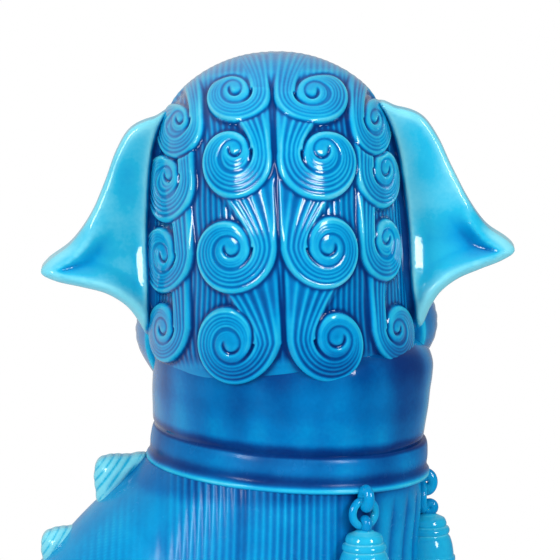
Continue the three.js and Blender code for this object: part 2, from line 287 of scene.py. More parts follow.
def sculpted(name, box, step, field, tone, paint=None, place=None, node=None):
    """A piece made from a field of distances over a box. place carries its points into the row frame."""
    low, high = np.array(box, float)
    step = step * COARSE
    low = low - 2 * step
    blocks = np.ceil((high + 2 * step - low) / (step * BLOCK)).astype(int)
    at = np.stack(np.meshgrid(*[np.arange(n) for n in blocks], indexing="ij"), -1).reshape(-1, 3)
    # a block is worked out finely if the surface may run through it: half its diagonal, and 3 mm to spare
    reach = BLOCK * step * 0.87 + 3
    rough = field(low + (at + 0.5) * BLOCK * step)
    near = np.abs(rough) < reach
    grid = np.empty((blocks[0], BLOCK, blocks[1], BLOCK, blocks[2], BLOCK), np.float32)
    grid[:] = np.where(rough < 0, -reach, reach).reshape(blocks)[:, None, :, None, :, None]
    cell = np.stack(np.meshgrid(*[np.arange(BLOCK)] * 3, indexing="ij"), -1).reshape(-1, 3)
    fine = at[near]
    values = field((low + (fine[:, None] * BLOCK + cell) * step).reshape(-1, 3))
    grid[fine[:, 0], :, fine[:, 1], :, fine[:, 2], :] = values.reshape(-1, BLOCK, BLOCK, BLOCK)
    volume = openvdb.FloatGrid()
    volume.copyFromArray(grid.reshape([n * BLOCK for n in blocks]), tolerance=0)
    points, faces = volume.convertToQuads(0)
    points, faces = points.astype(float) * step + low, faces.astype(int)
    glaze = pooled(points, faces, tone)
    if paint is not None:
        glaze = paint(points, glaze)
    piece(name, place(points) if place is not None else points, faces, glaze, node)


def mirrored_box(side, axis, low, high):
    """A box given for the positive side of an axis, on the side asked for."""
    low, high = list(low), list(high)
    low[axis], high[axis] = sorted([side * low[axis], side * high[axis]])
    return low, high


def even_angles(count):
    return np.linspace(0, 2 * np.pi, count, endpoint=False)


def ring(at, radius, wire, axis, count=72, around=24):
    """A wire ring whose hole faces along its level axis, and its faces."""
    axis = np.array(axis, float) / np.linalg.norm(axis)
    side = np.cross(axis, [0, 0, 1])
    side /= np.linalg.norm(side)
    third = np.cross(axis, side)
    u, v = np.meshgrid(even_angles(count), even_angles(around), indexing="ij")
    u, v = u[..., None], v[..., None]
    spokes = np.cos(u) * side + np.sin(u) * third
    points = at + (radius + wire * np.cos(v)) * spokes + wire * np.sin(v) * axis
    return points.reshape(-1, 3), tube_faces(count, around, looped=True)


# ---- glaze


def linear(red, green, blue):
    """A colour from its screen values, 0 to 255."""
    screen = np.array([red, green, blue]) / 255
    return [*np.where(screen > 0.04, ((screen + 0.055) / 1.055) ** 2.4, screen / 12.92), 1]


# glaze values, from the deepest pool to the barest ridge, and the colour there
GLAZE_COLOURS = [
    (0.00, linear(2, 44, 106)),
    (0.16, linear(2, 67, 131)),
    (0.36, linear(2, 105, 170)),
    (0.56, linear(5, 144, 200)),
    (0.76, linear(34, 173, 210)),
    (1.00, linear(120, 208, 226)),
]


def mapped(tree, value, source, target):
    """A value carried from one range, given as (low, high), to another."""
    node = tree.nodes.new("ShaderNodeMapRange")
    for name, number in zip(("From Min", "From Max", "To Min", "To Max"), (*source, *target)):
        node.inputs[name].default_value = number
    tree.links.new(value, node.inputs["Value"])
    return node.outputs["Result"]


def combined(tree, operation, a, b):
    node = tree.nodes.new("ShaderNodeMath")
    node.operation = operation
    tree.links.new(a, node.inputs[0])
    tree.links.new(b, node.inputs[1])
    return node.outputs["Value"]


def make_glaze(name, roughness, shine):
    """The glaze as a material. shine is the strength of what it mirrors."""
    made = bpy.data.materials.new(name)
    made.use_nodes = True
    tree = made.node_tree
    shader = tree.nodes["Principled BSDF"]
    shader.inputs["IOR"].default_value = 1.52
    shader.inputs["Specular IOR Level"].default_value = shine
    place = tree.nodes.new("ShaderNodeTexCoord")
    depth = tree.nodes.new("ShaderNodeAttribute")
    depth.attribute_name = "glaze"

    def noise(scale, detail):
        node = tree.nodes.new("ShaderNodeTexNoise")
        node.inputs["Scale"].default_value = scale
        node.inputs["Detail"].default_value = detail
        tree.links.new(place.outputs["Object"], node.inputs["Vector"])
        return node.outputs["Fac"]

    def noise_between(scale, detail, low, high):
        return mapped(tree, noise(scale, detail), (0.3, 0.7), (low, high))

    # the glaze runs thick and thin in clouds the size of a fingertip, and speckles finely
    clouds = noise_between(70, 3, -0.06, 0.06)
    specks = noise_between(900, 2, -0.015, 0.015)
    cloudy = combined(tree, "ADD", depth.outputs["Fac"], clouds)
    ramp = tree.nodes.new("ShaderNodeValToRGB")
    tree.links.new(combined(tree, "ADD", cloudy, specks), ramp.inputs["Fac"])
    stops = ramp.color_ramp.elements
    while len(stops) < len(GLAZE_COLOURS):
        stops.new(0.5)
    for stop, (at, colour) in zip(stops, GLAZE_COLOURS):
        stop.position = at
        stop.color = colour
    tree.links.new(ramp.outputs["Color"], shader.inputs["Base Color"])
    tree.links.new(noise_between(240, 2, roughness - 0.04, roughness + 0.04), shader.inputs["Roughness"])
    bump = tree.nodes.new("ShaderNodeBump")
    bump.inputs["Strength"].default_value = 0.12
    bump.inputs["Distance"].default_value = 0.0004
    tree.links.new(noise(420, 2), bump.inputs["Height"])
    tree.links.new(bump.outputs["Normal"], shader.inputs["Normal"])
    return made


GLAZE = make_glaze("turquoise_glaze", 0.10, 0.5)
COMBED_GLAZE = make_glaze("turquoise_glaze_combed", 0.24, 0.15)  # where a fine comb breaks up its shine

# ---- head

HEAD_ROLL = math.radians(2.5)  # the head leans towards the tail
CROWN = 53.5  # from the middle of the skull to the crown
SKULL = np.array([middle_of("mane_shell")[0], 0, corners("mane_shell")[1][2] - CROWN])
LOOK_DOWN = math.radians(10)  # the slope at which the rows of curls are laid out
RELIEF = 2.4  # how far the curls stand out of the clay under them

# [height, half width, face, back] of the head's clay
HEAD_ROWS = [
    [-39, 37.0, -36, 37.5],
    [-32, 38.4, -38, 41],
    [-24, 38.4, -43, 43.6],
    [-12, 37.8, -48, 45.5],
    [0, 37.2, -49, 46],
    [12, 36.2, -48.5, 45],
    [24, 34.8, -45.5, 42],
    [34, 32.2, -41, 37],
    [42, 27.2, -33.5, 30.5],
    [48.5, 20.2, -24, 22.5],
    [52.3, 11.4, -14, 13],
    [CROWN, 0.3, -0.3, 0.3],
]


def head_to_frame(points):
    """Points in the head's axes, in the row frame."""
    x, y, z = np.moveaxis(points, -1, 0)
    c, s = math.cos(HEAD_ROLL), math.sin(HEAD_ROLL)
    return np.stack([x * c + z * s, y, z * c - x * s], -1) + SKULL


def head_rows(t):
    """The head's outline at t from 0 to 1: height, half width, half depth and the middle of the depth."""
    z, half, face, back = (through([row[k] for row in HEAD_ROWS], t) for k in range(4))
    return z, half, (back - face) / 2, (back + face) / 2


def head_skin(t, angle, sunk):
    """The head's surface, sunk by so much. angle is 0 at the back of the mane and grows towards +x."""
    z, half, depth, waist = head_rows(t)
    keep = np.clip((half - sunk) / half, 0.02, 1)
    down = sunk * smoothstep((z - 35) / 18)  # near the crown it sinks downwards too
    return np.stack([half * keep * np.sin(angle), waist + depth * keep * np.cos(angle), z - down], -1)


def in_head(p):
    """How far places in the head's axes lie outside its clay, level with them."""
    z, *columns = head_rows(np.linspace(0, 1, 400))
    half, depth, waist = (np.interp(p[:, 2], z, values) for values in columns)
    k = np.hypot(p[:, 0] / half, (p[:, 1] - waist) / depth)
    return np.maximum((k - 1) * np.minimum(half, depth), p[:, 2] - CROWN)


# Locks of the mane. Each hangs as a tail on the side of its curl that is nearer the middle of the mane,
# sweeps round under the curl's eye and winds into it. Columns: across and up to the eye, reach from the eye
# to the tail's outer edge, drop, out and rise to the curl's lowest, outermost and highest points, and fan,
# how the tail spreads upwards.
LOCKS = [
    # lowest row
    [-36.1, -23.4, 10.8, 9.9, 9.0, 7.2, 0.5],
    [34.5, -26.2, 9.4, 10.2, 9.4, 6.4, 0.5],
    [-13.5, -28.2, 13.9, 11.2, 10.1, 10.4, 0.80],
    [14.8, -27.7, 13.8, 12.0, 7.6, 7.2, 0.80],
    # third row
    [-35.2, -3.0, 11.6, 11.0, 12.0, 7.6, 0.5],
    [32.5, -1.0, 9.8, 12.4, 7.2, 5.6, 0.5],
    [-12.4, -2.0, 12.8, 12.8, 10.5, 7.6, 0.90],
    [13.7, -2.8, 13.3, 11.8, 9.0, 8.4, 0.90],
    # second row
    [-31.6, 18.8, 9.6, 13.2, 12.5, 5.4, 0.7],
    [33.5, 18.1, 11.2, 11.2, 7.0, 5.4, 0.7],
    [-10.3, 24.4, 10.2, 13.6, 9.1, 5.4, 1.2],
    [13.1, 23.4, 12.5, 14.0, 9.6, 5.2, 1.2],
    # row under the crown
    [-26.6, 33.7, 7.8, 10.6, 10.5, 4.4, 1.0],
    [30.0, 31.8, 8.7, 10.6, 7.5, 6.0, 1.0],
    [-9.8, 40.6, 10.1, 9.0, 8.0, 3.4, 1.0],
    [11.1, 39.0, 10.9, 8.6, 10.7, 4.6, 1.0],
]
ROW_TAILS = [23, 23, 21, 34]  # how far above its eye a lock's tail starts, from the lowest row up
WIND = 0.45  # how far a curl winds in at each turn
STRANDS = 6  # strands in a lock
COMB = 1.7  # from strand to strand between the locks
BODY, DOME = 0.86, 0.12  # how high a lock's edge stands in the relief, and its middle over that
SHOULDER = 1.5  # how wide the rounding of a lock's edge is


def edge(inside, width):
    """A rounded shoulder: 0 outside, 1 from width inside."""
    return np.sqrt(np.clip(1 - (1 - np.clip(inside / width, 0, 1)) ** 2, 0, 1))


def over(under, layer, inside, fade=1.0):
    """A layer laid over a relief where it is inside its outline."""
    share = smoothstep(inside / 0.4) * fade
    return under * (1 - share) + layer * share


def combed(turns):
    """Narrow crests between rounded furrows, one to a turn, about zero."""
    return 0.62 - np.abs(np.sin(np.pi * turns))


def add_lock(relief, a, b, lock, tail_top):
    """Lays one lock over the relief at (a, b): across the back of the head, and up it."""
    across, up, reach, drop, out, rise, fan = lock
    x, y = (a - across) * (-1 if across > 0 else 1), b - up
    crown = smoothstep((b - 37) / 8)

    # its tail comes down from under the row above, and melts into the crown and into the hair beside it
    rising = np.maximum(y, 0)
    spread = 1 + fan * rising**2 / (rising + 7) / 7
    strand = reach - (reach - x) / spread
    turns = np.log(np.clip(strand / reach, 0.05, 2)) / math.log(WIND)
    beside = (strand - WIND * reach * 0.97) * spread
    inside = np.where(y > -0.5, np.minimum(reach - x + 1.2 * crown, beside + 0.4), -1)
    low = 0.36 * smoothstep(y / 14) * (1 - crown)
    height = BODY * np.maximum(edge(reach - x, SHOULDER), crown) - low
    height += DOME * (1 - (x / reach) ** 2) * (1 - crown)
    height += (0.11 - 0.05 * crown) * combed(STRANDS * turns)
    soft = smoothstep((beside + 0.4) / (0.4 + 0.22 * rising))
    relief = over(relief, height, inside, smoothstep((tail_top - y) / 8) * soft)

    # the curl: the strands follow a spiral that closes on the eye, and swells to the curl's outline
    r = np.maximum(np.hypot(x, y), 0.05)
    angle = np.mod(np.arctan2(-y, x), 2 * np.pi)
    along = angle / (2 * np.pi)
    outline = ((drop, 0.25), (out, 0.5), (rise, 0.75))
    down, far, above = (math.log(size / (reach * WIND**turn), WIND) for size, turn in outline)
    swell = (down + far + above) / 4 - far / 2 * np.cos(angle) + (down - above) / 2 * np.sin(angle)
    swell += (far - down - above) / 4 * np.cos(2 * angle)
    turns = np.log(r / reach) / math.log(WIND) - along - swell * smoothstep((r - 1) / 5)
    tightness = r * math.log(1 / WIND)  # millimetres to a turn, here
    inside = turns * tightness
    inside = np.maximum(inside, SHOULDER * (1 - smoothstep((r - 0.5) / 0.6)))  # the eye is a smooth button
    height = BODY * edge(inside, SHOULDER) + DOME * (1 - (r / reach) ** 2)
    height += 0.11 * smoothstep((r / reach - 0.10) / 0.2) * combed(STRANDS * turns)
    # the outermost strand is a bead under the curl
    under = smoothstep((angle - 0.2) / 0.5) * (1 - smoothstep((angle - 3.4) / 0.8))
    height += 0.12 * under * hump(turns - 0.08, 0.06)
    # the lock's own edge is a groove that winds in, deepest beside the eye
    first = 0.12 + 0.74 * (1 - smoothstep(along / 0.2))
    second = 0.12 + 0.34 * smoothstep(along / 0.2) - 0.46 * smoothstep((along - 0.4) / 0.25)
    for turn, depth in ((1, first), (2, second)):
        gap = (turns - turn) * tightness
        groove = np.where(gap > 0, 1 - edge(gap, SHOULDER), hump(gap, 0.25))
        height -= depth * groove * smoothstep((r - 0.4) / 0.8)
    return over(relief, height, inside)


CELL = 0.16  # millimetres between the samples of the mane's relief
SPAN = 62.0  # half the relief's width
LOW, HIGH = -52.0, 56.0  # its lowest and highest samples
ROUND = 37.4  # the radius that across is measured on
HEAD_RADIUS = 41  # the head's radius, for the number of points round it
HEAD_CORE = [0, -2, 0]  # a place well inside the head
NAPE, HAIRLINE = -39, 27  # the height of the mane's foot, and of the forelocks' over the brow
MANE_END, FORELOCK_START = 97, 95  # how far round each side the one goes and the other starts, in degrees
CROWN_UP = CROWN * math.cos(LOOK_DOWN)


def mane_relief():
    """The relief of the mane, from 0 in the valleys to about 1 on the curls."""
    a, b = np.meshgrid(np.arange(-SPAN, SPAN, CELL), np.arange(LOW, HIGH, CELL))
    crown = smoothstep((b - 40) / 5)
    relief = 0.30 + 0.56 * crown + (0.08 - 0.03 * crown) * combed(a / COMB + 0.25 * np.sin(b / 5))
    relief *= smoothstep((b + 36) / 6)
    for i, lock in enumerate(LOCKS):
        top = ROW_TAILS[i // 4]
        near = (np.abs(a[0] - lock[0]) < 34) & (np.abs(a[0]) < SPAN)
        rows = (b[:, 0] > lock[1] - 18) & (b[:, 0] < lock[1] + top + 1)
        window = np.ix_(rows, near)
        relief[window] = add_lock(relief[window], a[window], b[window], lock, top)
    return blurred(relief, 0.18 / CELL)


def sampled(field, a, b):
    """The field's value at places a across and b up, between its samples."""
    return between(field, (b - LOW) / CELL, (a + SPAN) / CELL)


def mane_places(points, half, angle):
    """Where points of the head lie on the relief: across, from the middle of the mane, and up."""
    x = points[..., 0] / np.maximum(half / ROUND, 1)
    across = ROUND * np.arcsin(np.clip(-x / ROUND, -1, 1))
    up = points[..., 2] * math.cos(LOOK_DOWN) - points[..., 1] * math.sin(LOOK_DOWN)
    # over the brow, the strands run straight on from the crown
    front = smoothstep((np.abs(angle) - math.radians(94)) / math.radians(25))
    return across, up * (1 - front) + CROWN_UP * front


def even_rows(step, foot):
    """Values of t that are a step apart along the back of the head, from a height up to its crown."""
    t = np.linspace(0, 1, 4000)
    line = head_skin(t, np.zeros_like(t), RELIEF)
    length = np.concatenate([[0], np.cumsum(np.linalg.norm(np.diff(line, axis=0), axis=1))])
    start = np.interp(foot, line[:, 2], length)
    return np.interp(np.arange(start, length[-1], step), length, t)


def hair(name, node, relief, glazing, step, foot, first, last):
    """A wedge of the head under its hair, between two angles in degrees, from a height to the crown."""
    count = int(math.radians(abs(last - first)) * HEAD_RADIUS / step)
    angles = np.radians(np.linspace(first, last, count))
    t, angle = np.meshgrid(even_rows(step, foot), angles, indexing="ij")
    base = head_skin(t, angle, RELIEF)
    a, b = mane_places(base, head_rows(t)[1], angle)
    e = 1e-3
    along = head_skin(np.minimum(t + e, 1), angle, RELIEF) - head_skin(np.maximum(t - e, 0), angle, RELIEF)
    around = head_skin(t, angle + e, RELIEF) - head_skin(t, angle - e, RELIEF)
    out = np.cross(along, around)
    out /= np.maximum(np.linalg.norm(out, axis=-1, keepdims=True), 1e-12)
    out *= np.where((out * (base - HEAD_CORE)).sum(-1) < 0, -1, 1)[..., None]
    height = sampled(relief, a, b)
    if foot > 0:  # a hairline, rounded down to the brow
        height = height * edge(base[..., 2] - foot, 3)
    front = base + out * (RELIEF * height)[..., None]
    # walls close the wedge to a point inside the head
    n, m = front.shape[:2]
    points = np.concatenate([front.reshape(-1, 3), [HEAD_CORE[:2] + [max(foot, 0)]]])
    index = np.arange(n * m).reshape(n, m)
    rim = np.concatenate([index[0], index[1:, -1], index[-1, -2::-1], index[-2:0:-1, 0]])
    inner = np.full(len(rim), n * m)
    walls = np.stack([np.roll(rim, -1), rim, inner, inner], 1)
    faces = np.concatenate([tube_faces(n, m, closed=False), walls])
    values = np.append(sampled(glazing, a, b).ravel(), 0.4)
    piece(name, head_to_frame(points), faces, values, node, sharp=60)


def build_hair():
    relief = mane_relief()
    fine = relief - blurred(relief, 0.6 / CELL)
    broad = relief - blurred(relief, 2.4 / CELL)
    up = np.arange(LOW, HIGH, CELL)[:, None]
    # painted shade: the mane is made darker towards the nape and lighter upwards, as if lit from above
    glazing = 0.395 + 0.06 * smoothstep((up + 20) / 20) - 0.28 * (1 - smoothstep((up + 42) / 18))
    glazing = glazing + 0.29 * np.tanh(23 * fine) + 0.15 * (relief - 0.6) + 0.22 * broad
    # it thins along the nape, but not under the ears; there, painted shade darkens the lower part
    under_ear = smoothstep((np.abs(np.arange(-SPAN, SPAN, CELL))[None] - 47) / 6)
    glazing += 0.42 * (1 - smoothstep((up + 35) / 8)) * (1 - smoothstep(relief / 0.3)) * (1 - under_ear)
    glazing -= 0.25 * (1 - smoothstep((up + 14) / 8)) * under_ear
    step = 0.288 * COARSE
    for side, name in ((1, "left"), (-1, "right")):
        hair(f"mane_{name}_half", "mane_shell", relief, glazing, step, NAPE, 0, side * MANE_END)
    for side, name in ((1, "left"), (-1, "right")):
        first, last = side * FORELOCK_START, side * 180
        hair(f"forelock_{name}", "face_shell", relief, glazing, step * 1.5, HAIRLINE, first, last)


build_hair()

# ---- ears

# the ear's edge as seen from behind, [out from the middle of the head, up], from its top round by its tip
EAR_EDGE = [
    [28, 36.4], [34.4, 36.5], [41, 33.7], [45.3, 27.4], [48.8, 19], [53.2, 9.8], [58.6, 2.2],
    [64.8, -2.2], [66.8, -5.2], [62.8, -7.6], [56, -9.6], [49.5, -11.8], [44.3, -15.4], [41.2, -20],
    [38.6, -25.4], [34.4, -28.6], [29, -20], [28, 10],
]
# how far back the ear's outer face lies, at even heights from EAR_FOOT up to EAR_TOP
EAR_BACK = [7.0, 9.5, 12.0, 11.5, 9.0, 7.0, 6.0, 5.5, 5.5, 6.0]
EAR_FOOT, EAR_TOP = -30, 38
EAR_SHIFT = 0.8  # the ears sit a little towards the left of the head's middle


def edge_distance(x, z, outline):
    """Signed distance from a closed outline in the x-z plane, on a grid of places."""
    best, inside = np.full(x.shape, np.inf), np.zeros(x.shape, bool)
    for (x0, z0), (x1, z1) in zip(outline, np.roll(outline, -1, axis=0)):
        dx, dz = x1 - x0, z1 - z0
        s = np.clip(((x - x0) * dx + (z - z0) * dz) / (dx * dx + dz * dz + 1e-12), 0, 1)
        best = np.minimum(best, np.hypot(x - x0 - s * dx, z - z0 - s * dz))
        if dz:
            inside ^= ((z0 > z) != (z1 > z)) & (x < x0 + (z - z0) / dz * dx)
    return np.where(inside, -best, best)


def flat_form(points):
    """A function that gives the distance from a flat outline, read from a fine grid."""
    cell, margin = 0.5, 14
    outline = closed_curve(points, 160)
    low = outline.min(0) - margin
    size = np.ceil((outline.max(0) + margin - low) / cell).astype(int) + 1
    x, z = np.meshgrid(*[low[k] + cell * np.arange(size[k]) for k in (0, 1)], indexing="ij")
    grid = edge_distance(x, z, outline)
    return lambda x, z: between(grid, (x - low[0]) / cell, (z - low[1]) / cell)


def rounded(a, b, radius):
    """Where two distances both lie inside, with the edge between them rounded."""
    u, v = a + radius, b + radius
    return np.hypot(np.maximum(u, 0), np.maximum(v, 0)) + np.minimum(np.maximum(u, v), 0) - radius


def build_ear(side, name, lift, longer, depth):
    """One ear.

    lift is how much higher its tip stands than the head's roll alone would put it, longer is how much
    further out the tip is than in EAR_EDGE, and depth is how deep the glaze pools inside the tip.
    """
    flat = flat_form(EAR_EDGE)

    def flattened(p):
        x = side * (p[:, 0] + EAR_SHIFT)
        x = x - longer * smoothstep((x - 50) / 14)
        z = p[:, 2] - lift * np.clip((x - 33) / 33, 0, 1.2)
        return x, z, flat(x, z)

    # the lower half has a rolled lip round a hollow, and the ear sinks in where it joins the head
    def field(p):
        x, z, d = flattened(p)
        back = through(EAR_BACK, (z - EAR_FOOT) / (EAR_TOP - EAR_FOOT))
        low = 1 - smoothstep((z + 2) / 12)
        back = back + low * hump(d + 2.6, 1.6)
        back = back - 2.2 * low * smoothstep((-d - 2.5) / 5) * smoothstep((x - 34) / 8)
        back = back - 1.8 * (1 - smoothstep((in_head(p) + 0.4) / 1.8))
        front = back - 8.5 - 5 * low
        return rounded(d, np.maximum(p[:, 1] - back, front - p[:, 1]), 1.8 + 1.6 * low)

    def paint(p, glaze):
        x, z, d = flattened(p)
        lip = smoothstep((d + 2.6) / 1.8) * (1 - smoothstep((z + 2) / 8))
        pool = depth * hump(x - 56, 9) * hump(z + 1 + (x - 56) * 0.35, 6.5)
        pool += 0.12 * hump(x - 42, 4) * hump(z - 20, 9)
        root = 1 - smoothstep((in_head(p) + 0.2) / 1.3)
        return 0.82 + 0.5 * (glaze - 0.84) - pool * (1 - lip) + 0.14 * lip - 0.62 * root * (p[:, 1] > 0)

    box = mirrored_box(side, 0, [25, -14, -35], [69, 15, 42])
    sculpted(name, box, 0.55, field, 0.86, paint, head_to_frame)


build_ear(-1, "ear_left", 0.3, -1.3, 0.34)
build_ear(1, "ear_right", -0.1, 1.0, 0.18)

# ---- neck and collar

NECK_X = middle_of("collar_band")[0]
NECK_RADIUS = 38.5
COLLAR_TILT = math.radians(3.5)  # the collar drops towards the chest
COLLAR_FOOT = 190.0  # the height of the collar's plane on the neck's axis


def on_collar(points):
    """Points given round the collar's axis, in the row frame."""
    x, y, z = points.T
    c, s = math.cos(COLLAR_TILT), math.sin(COLLAR_TILT)
    return np.stack([x * c - z * s + NECK_X, y, z * c + x * s + COLLAR_FOOT], 1)


def turned(angle, radius, z):
    """Points on circles, for arrays that fit each other."""
    rings = np.broadcast_arrays(radius * np.cos(angle), radius * np.sin(angle), z)
    return np.stack(rings, -1)


def uneven(angle, z):
    """The slow unevenness of hand-smoothed clay, about zero."""
    return (np.sin(3 * angle + z / 9) + np.sin(5 * angle - z / 13 + 1) + np.sin(8 * angle + z / 17 + 2)) / 3


def build_neck():
    # [height above the collar's plane, how far out of NECK_RADIUS]
    outline = [
        [-5, -3.2], [2, -2.6], [8, -0.9], [10, -0.6], [11.6, -0.6], [13, -0.1], [16, 0.2], [21, 0.7],
        [26, 0.9], [30, 1.2], [34, 1.0], [38, -1.0], [41, -5],
    ]
    z, out = curve(outline, int(110 / COARSE)).T[..., None]
    angle = even_angles(int(420 / COARSE))
    # the jowls flare out of its sides, and the mane's last curls lie on its back
    side = np.cos(angle) ** 2
    radius = NECK_RADIUS + out * (0.5 + 0.5 * side) + 0.30 * uneven(angle, z) + 0.5 * np.cos(angle)
    points, faces = capped(turned(angle, radius, z))
    streaks_shade_and_sheen = 0.05 * np.sin(11 * angle + 0.9) + 0.04 * np.sin(19 * angle + z / 12)
    streaks_shade_and_sheen += 0.05 * np.sin(6 * angle + z / 20)
    # painted shade darkens the neck's right side at 142 degrees and a painted sheen lightens its right edge
    # at 172 degrees, as seen from behind; the dark streak at 68 degrees is in the glaze itself
    for degrees, width, amount in ((68, 9, -0.20), (142, 15, -0.19), (172, 15, 0.20)):
        streaks_shade_and_sheen += amount * hump(np.degrees(angle) - degrees, width)
    glaze = 0.42 + 0.8 * streaks_shade_and_sheen - 0.40 * (1 - smoothstep((z - 12.4) / 3))
    # painted shade under the mane: darker towards the top of the neck
    glaze -= 0.09 * smoothstep((z - 18) / 6) + 0.11 * smoothstep((z - 27) / 9)
    piece("neck", on_collar(points), faces, np.append(glaze, [0.3, 0.3]))


def build_collar():
    # [radius, height] round the collar's section: a flat foot, a thin bead, a hollow, and the roll
    section = [
        [37.5, 1.2], [38.9, 1.1], [39.9, 1.2], [40.3, 1.8], [40.2, 2.5], [39.8, 3.1], [39.4, 3.9],
        [39.3, 5.0], [39.4, 6.6], [39.3, 8.4], [39.1, 10.0], [38.7, 11.0], [38.0, 11.6], [36.9, 11.6],
        [35.7, 10.0], [35.7, 4.0],
    ]
    around, count = int(96 / COARSE), int(560 / COARSE)
    r, z = closed_curve(section, around).T
    angle = even_angles(count)[:, None]
    out = r + 0.16 * uneven(angle, z * 3) * smoothstep((z - 2) / 2)
    points = turned(angle, out, z).reshape(-1, 3)
    glaze = 0.27 + 0.53 * hump(z - 2.1, 0.8) - 0.22 * hump(z - 4.4, 1.6) + 0.06 * hump(z - 7.4, 2)
    glaze = glaze - 0.40 * smoothstep((z - 10.4) / 1.2)
    glaze = glaze + 0.07 * np.sin(7 * angle + 1) + 0.04 * np.sin(13 * angle)
    faces = tube_faces(count, around, looped=True)
    piece("collar_band", on_collar(points), faces, glaze.ravel(), material=COMBED_GLAZE)


build_neck()
build_collar()

# ---- torso

# [height, chest, spine, half width]
TORSO = [
    [40.3, -26, 76, 38],
    [58, -35, 81, 42],
    [77, -43, 82, 44],
    [96, -49, 80, 44],
    [115, -54, 75, 43.5],
    [134, -57.5, 67, 42.5],
    [153, -59.5, 54, 41.5],
    [170, -59.6, 38.5, 40.3],
    [182, -60.4, 26, 40],
    [190, -60.4, 18.2, 39.6],
]
HAIR_PITCH = 2.0  # from strand to strand of the combed coat
PARTINGS = [92, 68, 40, 12.5, -9.7, -37.5]  # where its groups of strands part, along X under the collar


def coat(x, y, z):
    """How far the combed coat stands out of the body, and how its glaze lies."""
    fall = np.clip(COLLAR_FOOT - z, 0, None)
    # the strand through a place starts at c, along X under the collar, and falls towards the tail
    c = x - 0.0016 * fall**2 * smoothstep((x + 45) / 30)
    round_neck = np.degrees(np.arctan2(np.abs(y), -(x - NECK_X)))  # 0 at the chest, 90 on the flank
    flank = smoothstep((round_neck - 64) / 6) * smoothstep((np.abs(y) - 12) / 10)
    spine = smoothstep((c - 4) / 10)
    strand = 0.62 - np.abs(np.sin(np.pi * (c / HAIR_PITCH + 0.15 * np.sin(z / 17))))
    amount = flank * (0.24 + 0.06 * np.sin(c / 4.1 + 1) - 0.17 * spine * (1 - smoothstep(fall / 90)))
    parting = sum(hump(c - at, 1.5) for at in PARTINGS) * flank
    # rounded locks hang down the chest
    lobes = ridges(round_neck / 11 - 0.46)
    chest = (1 - smoothstep((round_neck - 49) / 3)) * (0.7 + 0.3 * np.cos(z / 14))
    chest *= smoothstep((fall - 1) / 9)
    hollow = hump(round_neck - 57, 7) * (1 - smoothstep((fall - 38) / 14))
    out = amount * strand - 0.35 * parting * (1 - 0.5 * spine) + 0.8 * chest * lobes - 0.7 * hollow
    glaze = 0.44 + 0.26 * amount / 0.24 * strand - 0.16 * parting * (1 - 0.6 * spine) + 0.09 * spine
    glaze = glaze + 0.26 * chest * lobes - 0.34 * hollow - 0.16 * (1 - smoothstep(fall / 4))
    return out, glaze


def build_torso():
    top = 1 - np.linspace(0, 1, int(56 / COARSE)) * 0.30
    heights = np.concatenate([np.linspace(0, 0.70, int(76 / COARSE), endpoint=False), top[::-1]])
    z, chest, spine, half = (through(column, heights)[:, None] for column in np.transpose(TORSO))
    # more points go to the flank that the camera sees
    even = np.linspace(0, 1, int(720 / COARSE), endpoint=False)
    angle = (2 * np.pi * even + 0.42 * np.cos(2 * np.pi * even))[None]
    x = (chest + spine) / 2 + (spine - chest) / 2 * np.cos(angle)
    y = half * np.sin(angle)
    # the top lies in the collar's plane, just inside its foot
    plane = COLLAR_FOOT + 1.4 + (x - NECK_X) * math.tan(COLLAR_TILT)
    level = z + (plane - TORSO[-1][0]) * smoothstep((z - 130) / 60)
    out, glaze = coat(x, y, level)
    ways = np.stack([np.cos(angle) / (spine - chest) * 2, np.sin(angle) / half + 0 * x], -1)
    ways /= np.linalg.norm(ways, axis=-1, keepdims=True)
    rings = np.stack([x + out * ways[..., 0], y + out * ways[..., 1], level], -1)
    points, faces = capped(rings)
    piece("torso", points, faces, np.append(glaze, [0.4, 0.4]), material=COMBED_GLAZE)


build_torso()

# ---- bells

# [radius, height under the crown] of a bell: two steps, a band, the body, and the lip over its slot
BELL = [
    [0, 0], [1.8, -0.1], [2.6, -0.6], [3.4, -1.0], [4.3, -1.5], [4.7, -2.2], [4.9, -3.1], [4.8, -3.7],
    [5.4, -4.1], [5.7, -4.8], [5.6, -5.6], [5.3, -6.0], [5.9, -7.2], [6.4, -9.0], [6.7, -11.2], [6.8, -12.2],
    [7.1, -12.5], [7.2, -13.2], [7.1, -13.9], [6.7, -14.2], [6.1, -15.4], [4.8, -16.6], [2.6, -17.5],
    [0, -17.8],
]
BELL_SIZE = 1.1  # how much wider than that the bells are


